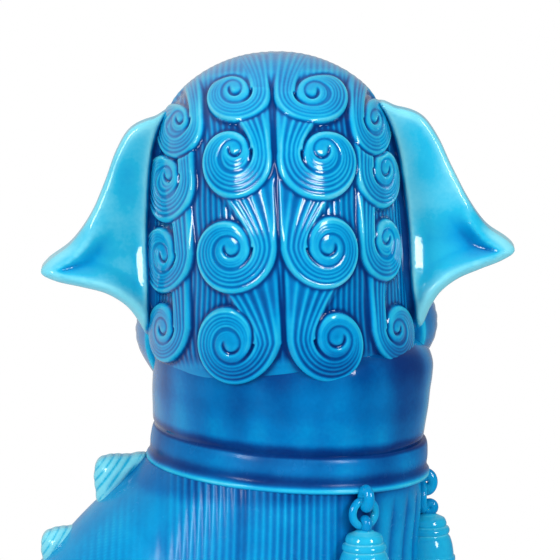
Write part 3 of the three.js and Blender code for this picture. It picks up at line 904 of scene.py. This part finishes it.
def build_bells():
    for name in ("left", "chest", "right"):
        link = middle_of(f"bell_ring_{name}")
        outward = np.array([link[0] - NECK_X, link[1], 0])
        outward /= np.linalg.norm(outward)
        # the bell on the chest hangs lower, and closer in
        sunk, lowered = (2.8, 2.4) if name == "chest" else (2.0, 0.8)
        link = link - sunk * outward - np.array([0, 0, lowered])
        tangent = np.array([-outward[1], outward[0], 0])
        hung = link - (1.3 if name == "chest" else 0) * outward  # where the lug and the ring are
        points, faces = ring([0, 0, 0], 1.7, 1.5, tangent)
        points = points * [1, 1, 1.25] + hung + [0, 0, 4.3] + 0.9 * outward
        piece(f"bell_lug_{name}", points, faces, pooled(points, faces, 0.92))
        points, faces = ring(hung - outward * 0.2, 3.7, 1.15, outward)
        piece(f"bell_ring_{name}", points, faces, pooled(points, faces, 0.88))
        crown = link + np.array([0, 0, -4.6])
        rows = curve(BELL, int(150 / COARSE)) * [BELL_SIZE, 1]
        radius, z = rows[1:-1].T[..., None]
        body, body_faces = capped(turned(even_angles(int(96 / COARSE)), radius, z) + crown)
        glaze = pooled(body, body_faces, 0.78)
        eye, eye_faces = ring(crown + np.array([0, 0, 1.6]) + 0.5 * outward, 1.2, 1.35, tangent, 48, 20)
        points = np.concatenate([body, eye])
        faces = np.concatenate([body_faces, eye_faces + len(body)])
        glaze = np.concatenate([glaze, pooled(eye, eye_faces, 0.94)])
        piece(f"bell_{name}", points, faces, glaze)


build_bells()

# ---- spine tufts

# a tuft's outline from its root's upper end, [away from the body along X, up]
TUFT = [
    [-2, 0.4], [3, 0], [8, -0.1], [11.4, -1.4], [12.6, -5], [12.3, -9.5], [11.0, -15], [6, -11], [0, -4.5],
]


def build_tuft(name, at, lean):
    flat = flat_form(TUFT)
    root = np.array([10.8, -15.2])  # the way its root runs down the back
    across_root = np.array([root[1], -root[0]]) / -np.linalg.norm(root)  # away from the body

    def strands(x, z):
        """How far places are from the root, and the ridges there."""
        away = x * across_root[0] + z * across_root[1]
        return away, ridges((away + 0.02 * (x + z) ** 2) / 2.35 + 0.2)

    def field(p):
        x, y, z = p.T
        return rounded(flat(x, z), np.abs(y) - 5.4, 4.2) - 0.22 * strands(x, z)[1]

    def paint(p, glaze):
        away, ridge = strands(p[:, 0], p[:, 2])
        return glaze + 0.30 * ridge - 0.4 * smoothstep(-away / 2)

    def placed(p):
        c, s = math.cos(lean), math.sin(lean)
        return np.stack([p[:, 0] * c + p[:, 2] * s + at[0], p[:, 1], p[:, 2] * c - p[:, 0] * s + at[1]], 1)

    sculpted(name, ([-4, -8, -18], [15, 8, 4]), 0.4, field, 0.86, paint, placed)


# x and z of each tuft's upper end on the spine, in the row frame, and how far it leans down, in degrees
TUFT_ROOTS = [[20, 194, 0], [35.8, 173.6, 6], [48.5, 156.5, 0], [61, 136.5, 8]]
for number, (x, z, lean) in enumerate(TUFT_ROOTS, start=1):
    build_tuft(f"spine_tuft_{number}", (x, z), math.radians(lean))

# ---- face


def folded(p):
    """Places with the -x side folded onto the +x side."""
    return np.stack([np.abs(p[:, 0]), p[:, 1], p[:, 2]], 1)


EYE = [15.5, -43.5, 10.5]
MOUTH = [0, -54, -18]


def face_field(p):
    q = folded(p)
    d = merged(
        in_head(p) + 2.2,
        oval(folded(p + np.array([1.2, 0, 0])), [26, -13, -27], [17, 26, 15]),  # jowl
        oval(q, [9, -46, -8], [14, 14, 9]),  # muzzle
        oval(q, [20, -33, -6], [12, 14, 12]),  # cheekbone
        oval(p, [0, -42, -27], [20, 15, 7]),  # the chin's root
        limb(p, [[0, -44, 20], [0, -50, 8], [0, -56, 0]], [6, 5.5, 6])[0],  # bridge of the nose
        soft=6,
    )
    d = carved(d, oval(q, [EYE[0], -49, EYE[2]], [9.5, 7, 8.5]), soft=3)
    d = merged(d, ring_field(q, [EYE[0], -44.5, EYE[2]], [9.2, 5, 8.2], 1.5), soft=1.5)  # lids
    lip = [[2, -59, -9], [10, -58, -10.5], [17, -50, -13], [20, -42, -20]]
    d = merged(d, limb(q, lip, [1.8, 2, 2, 1.5])[0], soft=2)
    d = carved(d, oval(p, MOUTH, [16, 12, 6.5]), soft=2)
    for k in range(-3, 4):  # upper teeth
        d = merged(d, oval(p, [k * 2.9, -55.6 + 0.2 * k * k, -13.2], [1.4, 1.5, 2.3]), soft=0.6)
    # the cheek is combed back
    comb = smoothstep((p[:, 1] + 34) / 10) * (1 - smoothstep((p[:, 1] + 16) / 10))
    comb *= smoothstep((-p[:, 2] + 2) / 6)
    d = d - 0.4 * comb * ridges((p[:, 2] - 0.30 * p[:, 1]) / 3.4)
    return np.maximum(np.maximum(d, p[:, 1] - 4), -38 - p[:, 2])


def ring_field(p, at, half, wire):
    """Distance from a wire bent round an oval that faces along Y."""
    q = p - np.array(at, float)
    flat = oval(q * [1, 0, 1], [0, 0, 0], [half[0], 1e3, half[2]])
    return np.hypot(flat, q[:, 1]) - wire


def painted_jowl_shade(p, glaze):
    """Painted shade behind the jowls, under the ears."""
    return glaze - 0.30 * smoothstep((p[:, 1] + 20) / 10) * smoothstep((-6 - p[:, 2]) / 10)


def on_head(name, box, step, field, tone, paint=None, node=None):
    """A sculpted piece whose field and box are in the head's axes."""
    sculpted(name, box, step, field, tone, paint, head_to_frame, node)


on_head("face", ([-45, -64, -39], [45, 6, 42]), 0.62, face_field, 0.60, painted_jowl_shade, "face_shell")


def swirl(u, v):
    """The ridges of a strand that winds in spirals towards u = v = 0."""
    r = np.maximum(np.hypot(u, v), 0.3)
    return ridges(np.log(r) / math.log(0.70) - np.arctan2(v, u) / (2 * np.pi))


def eye_field(side):
    at = [side * EYE[0], EYE[1] - 0.6, EYE[2]]

    def field(p):
        ball = oval(p, at, [7.4, 7.4, 7.0])
        pupil = oval(p, [at[0] - side * 0.8, at[1] - 7.6, at[2] + 0.2], [2.3, 1.6, 2.3])
        iris = ring_field(p, [at[0] - side * 0.8, at[1] - 6.6, at[2] + 0.2], [4.6, 1, 4.6], 0.5)
        return carved(merged(ball, iris, soft=0.6), pupil, soft=0.5)

    return field


def brow_field(side):
    line = [[4, -51, 16], [12, -50.5, 21], [23, -44, 23.5], [31, -34, 29]]

    def field(p):
        q = p * [side, 1, 1]
        middles = [[8, -51.5, 21.5], [16, -48.5, 25.5], [24, -43, 27.5]]
        tufts = [oval(q, at, [4.2, 3.4, 4.6]) for at in middles]
        d = merged(limb(q, line, [3.4, 4.8, 4.4, 1.0])[0], *tufts, soft=1.6)
        return d - 0.45 * ridges((q[:, 2] + 0.5 * q[:, 0]) / 2.6)

    return field


def cheek_curl(side):
    """A swirling knob of hair that faces sideways."""
    at, half = [28, -33, -19], [11, 11.5, 12.5]

    def field(p):
        q = folded(p) - at
        near = 1 - smoothstep((q[:, 1] - half[1] * 0.3) / 4)
        d = oval(folded(p), at, half) - 0.5 * near * swirl(q[:, 1], q[:, 2])
        return np.maximum(np.maximum(d, -37 - p[:, 2]), -side * p[:, 0])

    return field


def painted_cheek_curl_shade(p, glaze):
    """Painted shade darkens the back of a cheek curl, behind the jowl."""
    return glaze - 0.32 * smoothstep((p[:, 1] + 34) / 9)


SIDES = ((-1, "left"), (1, "right"))
for side, name in SIDES:
    box = mirrored_box(side, 0, [5, -54, 1], [25, -35, 20])
    on_head(f"eye_{name}", box, 0.35, eye_field(side), 0.86)
    box = mirrored_box(side, 0, [0, -58, 8], [36, -28, 34])
    on_head(f"brow_{name}", box, 0.4, brow_field(side), 0.76)
    box = mirrored_box(side, 0, [12, -46, -36], [44, -16, -2])
    on_head(f"cheek_curl_{name}", box, 0.45, cheek_curl(side), 0.72, painted_cheek_curl_shade)


def nose_field(p):
    q = folded(p)
    d = merged(oval(p, [0, -59, -1], [6.5, 6.5, 5.5]), oval(q, [7, -56.5, -2.5], [5, 5.5, 4.5]), soft=2)
    return carved(d, oval(q, [4.6, -63.5, -4.4], [2.0, 2.6, 1.8]), soft=1)


def jaw_field(p):
    d = oval(p, [0, -44, -28], [18.5, 16.5, 7.5])
    lip = [[0, -58.5, -24], [8, -56.5, -23.6], [14.5, -50, -22.5], [17, -42, -22]]
    d = merged(d, limb(folded(p), lip, [2, 2, 1.8, 1.4])[0], soft=2)
    d = carved(d, oval(p, [0, -47, -20.5], [13, 9, 4]), soft=1.5)
    for k in range(-3, 4):  # lower teeth
        d = merged(d, oval(p, [k * 2.7, -57.2 + 0.25 * k * k, -21.6], [1.3, 1.4, 2.0]), soft=0.5)
    return d


def tongue_field(p):
    line = [[0, -40, -21], [0, -48, -19.2], [0, -56, -20.6], [0, -59, -22.2]]
    return limb(p * [0.55, 1, 1], line, [3, 3.4, 3, 2])[0] + 0.8 * hump(p[:, 0], 1.2)


def beard_field(p):
    line = [[0, -50, -31], [0, -51, -39], [0, -48, -47], [0, -43, -53]]
    d, along, away = limb(p, line, [9.5, 8.8, 6, 1.2])
    turn = np.arctan2(away[:, 0], -away[:, 1]) / (2 * np.pi)
    return d - 0.6 * ridges(12 * turn + 0.5 * np.sin(3 * along))


on_head("nose", ([-13, -67, -9], [13, -49, 6]), 0.4, nose_field, 0.78)
on_head("lower_jaw", ([-21, -62, -37], [21, -26, -18]), 0.5, jaw_field, 0.68)
on_head("tongue", ([-9, -62, -26], [9, -36, -14]), 0.4, tongue_field, 0.8)
on_head("beard", ([-12, -62, -56], [12, -38, -22]), 0.5, beard_field, 0.70)


def fang_field(x, root, tip):
    line = [[x, -54.5, root], [x + math.copysign(0.3, x), -56.4, (root + tip) / 2], [x, -56.4, tip]]
    return lambda p: limb(p, line, [2.3, 1.8, 0.5])[0]


for side, name in SIDES:
    for row, root, tip, x in (("upper", -12, -18.5, 12.5), ("lower", -23, -15.5, 9.5)):
        box = mirrored_box(side, 0, [x - 4, -60, min(root, tip) - 4], [x + 4, -50, max(root, tip) + 4])
        on_head(f"fang_{row}_{name}", box, 0.3, fang_field(side * x, root, tip), 0.9)

# ---- legs, paws and ball

GROUND = corners("plinth_top")[1][2]  # the top of the plinth


def haunch(side):
    def field(p):
        d = merged(
            oval(p, [42, side * 35, 76], [37, 19, 35], turn=-0.25),
            oval(p, [30, side * 44, 56], [26, 12, 16]),
            soft=9,
        )
        outer = smoothstep((side * p[:, 1] - 40) / 6)
        u, v = p[:, 0] - 50, p[:, 2] - 82
        near = 1 - smoothstep((np.hypot(u, v) - 14) / 5)
        # a curl on the hip, and hair combed back along the rump
        comb = smoothstep((u - 8) / 10) * (1 - near)
        strands = ridges((p[:, 2] - 0.8 * p[:, 0]) / 3.2)
        d = d - outer * near * (0.8 + 0.6 * swirl(u, v)) - 0.26 * comb * strands
        return np.maximum(d, GROUND + 0.1 - p[:, 2])

    return field


def paw(at, size):
    """A paw with four clawed toes towards -X. at is the middle of its sole."""

    def field(p):
        q = (p - np.array(at, float)) / size
        d = oval(q, [0, 0, 8], [19, 12.5, 10.5])
        for k in (-1.5, -0.5, 0.5, 1.5):
            out = -(15 - abs(k) * 2.5)
            knuckle = oval(q, [out - 4, k * 6, 7.5], [4, 2.6, 4])
            toe = merged(oval(q, [out, k * 6, 5.8], [9, 3.6, 6.8]), knuckle, soft=1.5)
            d = merged(d, toe, soft=1.6)
            claw = [[out - 7, k * 6, 6], [out - 10.4, k * 6, 4.4], [out - 11.6, k * 6, 1.2]]
            d = merged(d, limb(q, claw, [1.9, 1.5, 0.6])[0], soft=0.4)
        tuft = smoothstep((q[:, 0] - 6) / 6)
        d = d - 0.5 * tuft * ridges((q[:, 2] + 0.7 * q[:, 0]) / 3)
        return np.maximum(d * size, at[2] + 0.1 - p[:, 2])

    return field


def foreleg(points, radii):
    def field(p):
        d, along, away = limb(p, points, radii)
        back = smoothstep((away[:, 0] / np.maximum(np.linalg.norm(away, axis=1), 1e-6) - 0.2) / 0.5)
        fringe = back * smoothstep((along - 0.25) / 0.2) * (1 - smoothstep((along - 0.9) / 0.1))
        return d - fringe * (1.0 + 0.4 * ridges(along * 9 + away[:, 0] / 9))

    return field


def flame(line, radii, strands=7, amount=0.5):
    """A lock of hair with strands along it."""

    def field(p):
        d, along, away = limb(p, line, radii)
        course = np.gradient(curve(line, 41), axis=0)
        x, _, z = at_each(along, np.linspace(0, 1, 41), course).T
        outward = (away[:, 0] * z - away[:, 2] * x) / np.maximum(np.hypot(x, z), 1e-9)
        return d - amount * ridges(np.arctan2(away[:, 1], outward) * strands / (2 * np.pi) + 0.5 * along)

    return field


for side, name in SIDES:
    box = mirrored_box(side, 1, [2, 14, GROUND], [82, 60, 114])
    sculpted(f"haunch_{name}", box, 0.8, haunch(side), 0.62)
    box = mirrored_box(side, 1, [-24, 33, GROUND], [28, 63, 62])
    sculpted(f"hind_foot_{name}", box, 0.55, paw([6, side * 48, GROUND], 1.0), 0.66)
    line = [[-34, side * 38, 96], [-24, side * 45, 104], [-14, side * 46, 116], [-12, side * 44, 127]]
    box = mirrored_box(side, 1, [-44, 28, 86], [-2, 56, 130])
    sculpted(f"elbow_flame_{name}", box, 0.5, flame(line, [5, 7.5, 5, 0.8]), 0.72)

leg = foreleg([[-38, 27, 132], [-47, 29, 105], [-51, 29, 78], [-52, 29, 54]], [18, 15.5, 12.5, 11.5])
sculpted("foreleg_right", ([-70, 8, 44], [-18, 50, 152]), 0.8, leg, 0.60)
sculpted("forepaw_right", ([-88, 13, GROUND], [-36, 45, 62]), 0.55, paw([-58, 29, GROUND], 1.0), 0.66)
leg = foreleg([[-38, -27, 134], [-48, -30, 114], [-53, -33, 98], [-55, -35, 90]], [18, 15.5, 12.5, 11])
sculpted("foreleg_left", ([-70, -48, 76], [-18, -8, 153]), 0.8, leg, 0.60)

ball_low, ball_high = corners("brocade_ball")
BALL_AT, BALL_RADIUS = (ball_low + ball_high) / 2, (ball_high[2] - ball_low[2]) / 2
GOLDEN = (1 + math.sqrt(5)) / 2
POLES = np.array([
    [0, 1, GOLDEN], [0, -1, GOLDEN], [1, GOLDEN, 0], [-1, GOLDEN, 0], [GOLDEN, 0, 1], [-GOLDEN, 0, 1],
])
POLES /= np.linalg.norm(POLES[0])


def ball_field(p):
    """A ball of brocade: twelve overlapping rings, each round a flower."""
    q = p - BALL_AT
    r = np.maximum(np.linalg.norm(q, axis=1), 1e-6)
    lean = np.abs(q @ POLES.T) / r[:, None]
    degrees = np.degrees(np.arccos(np.clip(lean, -1, 1)))
    bands = np.max(hump(degrees - 33, 3.2), axis=1)
    nearest = degrees.min(1)
    flower = hump(nearest, 5) + 0.8 * hump(nearest - 13, 4.5)
    return r - (BALL_RADIUS - 1.2) - 1.1 * bands - 0.8 * flower


sculpted("brocade_ball", (BALL_AT - 21, BALL_AT + 21), 0.5, ball_field, 0.66)
left_paw = [-60, -35, ball_high[2] - 5.3]  # it rests on the ball
box = ([-88, -51, left_paw[2]], [-36, -19, left_paw[2] + 20])
sculpted("forepaw_left", box, 0.55, paw(left_paw, 0.92), 0.66)

# ---- tail

root = flame([[72, 0, 58], [84, 0, 62], [88, 0, 78], [85, 0, 92]], [9, 9.5, 8.5, 7], 9)
sculpted("tail_root", ([60, -12, 46], [99, 12, 102]), 0.6, root, 0.66)
for name, y, top in (("middle", 0, 152), ("left", -13, 134), ("right", 13, 134)):
    line = [[85, y * 0.5, 84], [87, y, 102], [82, y * 1.1, (top + 102) / 2]]
    line += [[76, y * 0.9, top - 6], [83, y * 0.8, top]]
    box = ([64, y * 1.1 - 12, 74], [99, y * 1.1 + 12, top + 3])
    sculpted(f"tail_lock_{name}", box, 0.55, flame(line, [6, 9.5, 8.5, 5.5, 1], 9, 0.6), 0.72)

# ---- plinth

box_low, box_high = corners("plinth_box")
PETAL = 13.0  # about how wide each lotus petal of the band is


def perimeter(inset, corner, count):
    """Points round the plinth, inset from its sides, and how far round each is from 0 to 1."""
    length, depth = (box_high - box_low)[:2] / 2 - inset
    corner = max(corner - inset, 0.5)
    straight = [2 * (depth - corner), 2 * (length - corner)] * 2
    arc = math.pi / 2 * corner
    share = np.arange(count) / count
    at = share * (sum(straight) + 4 * arc)
    points = np.empty((count, 2))
    start = 0.0
    for k, (x, y) in enumerate(((1, 1), (-1, 1), (-1, -1), (1, -1))):
        turn = math.pi / 2 * k
        face = np.array([math.cos(turn), math.sin(turn)])
        along = np.array([-math.sin(turn), math.cos(turn)])
        centre = np.array([x * (length - corner), y * (depth - corner)])
        run = (at >= start) & (at < start + straight[k])
        first = centre + corner * face - straight[k] * along
        points[run] = first + (at[run] - start)[:, None] * along
        start += straight[k]
        bend = (at >= start) & (at < start + arc)
        around = turn + (at[bend] - start) / corner
        points[bend] = centre + corner * np.stack([np.cos(around), np.sin(around)], 1)
        start += arc
    return points, share


def plinth_rings(section, count, relief=None):
    """Rings round the plinth, one for each (inset, height) of its section."""
    corner = 10
    rings = []
    for inset, z in section:
        inner, share = perimeter(inset, corner, count)
        if relief is not None:
            deeper, _ = perimeter(inset + 1, corner, count)
            inner = inner + (inner - deeper) * relief(share, z)[:, None]
        rings.append(np.column_stack([inner, np.full(count, z)]))
    return np.array(rings)


def build_plinth():
    top = box_high[2]
    petals = 4 * round(2 * float(sum((box_high - box_low)[:2])) / PETAL / 4)
    foot, head = 9.5, top - 5.5

    def lotus(s, z):
        if not foot < z < head:
            return np.zeros_like(s)
        v = (z - foot) / (head - foot)
        total = np.zeros_like(s)
        for shift, height in ((0.5, 0.7), (0.0, 1.3)):
            u = np.abs((s * petals + shift) % 1 - 0.5) * 2
            inside = (0.97 * np.sqrt(np.clip(1 - v**2.4, 0, 1)) - u) * PETAL / 2
            rim = edge(inside, 0.9) - 0.45 * smoothstep((inside - 1.2) / 1.2)
            total = np.where(inside > 0, height * rim, total)
        return total

    section = [(11.5, 1.0), (6, 0.4), (1.2, 0.2), (0.1, 1.2), (0, 4), (0.2, 6.4), (1.4, 7.8), (3.2, 8.6)]
    section += [(4.6, 9.4)]
    section += [(4.8 - 0.6 * k / 40, foot + (head - foot) * k / 40) for k in range(1, 40)]
    section += [(3.6, head + 0.3), (2.0, head + 1.4), (1.4, head + 2.8), (1.7, top - 0.6), (2.6, top)]
    section += [(11.5, top)]
    count = int(1500 / COARSE)
    points = plinth_rings(section, count, lotus).reshape(-1, 3)
    faces = tube_faces(len(section), count, looped=True)
    piece("plinth_box", points, faces, pooled(points, faces, 0.58), sharp=70)

    # the slab's section: up its sides from its underside, then in over the top with a groove near the edge
    under = corners("plinth_top")[0][2]
    section = [(3, under + 0.2), (0.9, under + 0.3), (0.1, under + 1.3), (0, under + 3.2)]
    sunk = [(0.4, 1.6), (1.3, 0.5), (2.6, 0.1), (4.4, 0.1), (5.2, 0.9), (6.6, 0.9), (7.4, 0.1), (12, 0.05)]
    section += [(inset, GROUND - depth) for inset, depth in sunk]
    section += [(24, GROUND), (40, GROUND), (60, GROUND)]
    points, faces = capped(plinth_rings(section, int(700 / COARSE)))
    piece("plinth_top", points, faces, pooled(points, faces, 0.60), sharp=70)


build_plinth()

# ---- studio

head_middle = Vector(SKULL * MM)


def area_light(name, offset, size, power, mirrored=True):
    """A soft box that faces the head from an offset and has a size, in metres, and a power in watts.

    One that isn't mirrored lights the glaze without showing in it.
    """
    light = bpy.data.lights.new(name, "AREA")
    light.shape = "RECTANGLE"
    light.size, light.size_y = size
    light.energy = power
    made = bpy.data.objects.new(name, light)
    made.location = head_middle + Vector(offset)
    made.rotation_euler = (head_middle - made.location).to_track_quat("-Z", "Y").to_euler()
    made.visible_glossy = mirrored
    bpy.context.scene.collection.objects.link(made)


area_light("window_left", (0.75, 0.95, 0.40), (0.26, 0.60), 8.5)
area_light("window_right", (-0.90, 0.85, 0.45), (0.28, 0.52), 8.5)
area_light("overhead", (0, -0.15, 1.1), (1.3, 1.0), 5.5, mirrored=False)
area_light("fill", (0.2, 1.5, 0.5), (1.6, 1.6), 6.0, mirrored=False)

world = bpy.data.worlds.new("studio")
bpy.context.scene.world = world
world.use_nodes = True
sky = world.node_tree
way = sky.nodes.new("ShaderNodeTexCoord")
parts = sky.nodes.new("ShaderNodeSeparateXYZ")
sky.links.new(way.outputs["Generated"], parts.inputs["Vector"])
seen = sky.nodes.new("ShaderNodeLightPath")


def room(strength):
    """An even white light from all round."""
    node = sky.nodes.new("ShaderNodeBackground")
    node.inputs["Color"].default_value = (1, 1, 1, 1)
    node.inputs["Strength"].default_value = strength
    return node


def either(question, no, yes):
    mix = sky.nodes.new("ShaderNodeMixShader")
    sky.links.new(question, mix.inputs["Fac"])
    sky.links.new(no.outputs[0], mix.inputs[1])
    sky.links.new(yes.outputs[0], mix.inputs[2])
    return mix


# what the glaze mirrors: pale paper beyond the statue, a dim room on the camera's side, and less light from
# the side that the body faces
mirrored = room(1.0)
shade = mapped(sky, parts.outputs["Y"], (-0.35, 0.35), (0.6, 0.03))
beside = mapped(sky, parts.outputs["X"], (-0.8, 0.2), (0.15, 1.0))
sky.links.new(combined(sky, "MULTIPLY", shade, beside), mirrored.inputs["Strength"])
light_of_room = either(seen.outputs["Is Glossy Ray"], room(0.46), mirrored)
backdrop = either(seen.outputs["Is Camera Ray"], light_of_room, room(1.0))
sky.links.new(backdrop.outputs[0], sky.nodes["World Output"].inputs["Surface"])

FLOOR_RADIUS = 0.42
bpy.ops.mesh.primitive_circle_add(vertices=128, radius=FLOOR_RADIUS, fill_type="NGON", location=(0, 0, 0))
floor = bpy.context.object
floor.name = "floor"
paper = bpy.data.materials.new("floor_paper")
paper.use_nodes = True
matt = paper.node_tree.nodes["Principled BSDF"]
matt.inputs["Base Color"].default_value = (0.9, 0.9, 0.9, 1)
matt.inputs["Roughness"].default_value = 0.9
floor.data.materials.append(paper)
floor.visible_glossy = False

# the camera stands behind the statue, a little above its head, and frames the head and shoulders
CAMERA_DISTANCE = 1.6
FRAME_WIDTH = 0.1552  # what the frame spans at the back of the mane
camera = bpy.data.objects.new("camera", bpy.data.cameras.new("camera"))
bpy.context.scene.collection.objects.link(camera)
bpy.context.scene.camera = camera
aim = Vector((-0.0202, 0.030, 0.2496))  # what the middle of the frame shows
outward = Vector((0, math.cos(LOOK_DOWN), math.sin(LOOK_DOWN)))
camera.location = aim + outward * CAMERA_DISTANCE
camera.rotation_euler = (-outward).to_track_quat("-Z", "Y").to_euler()
camera.data.lens = camera.data.sensor_width * CAMERA_DISTANCE / FRAME_WIDTH
camera.data.clip_start = 0.01
bpy.context.scene.view_settings.view_transform = "Standard"
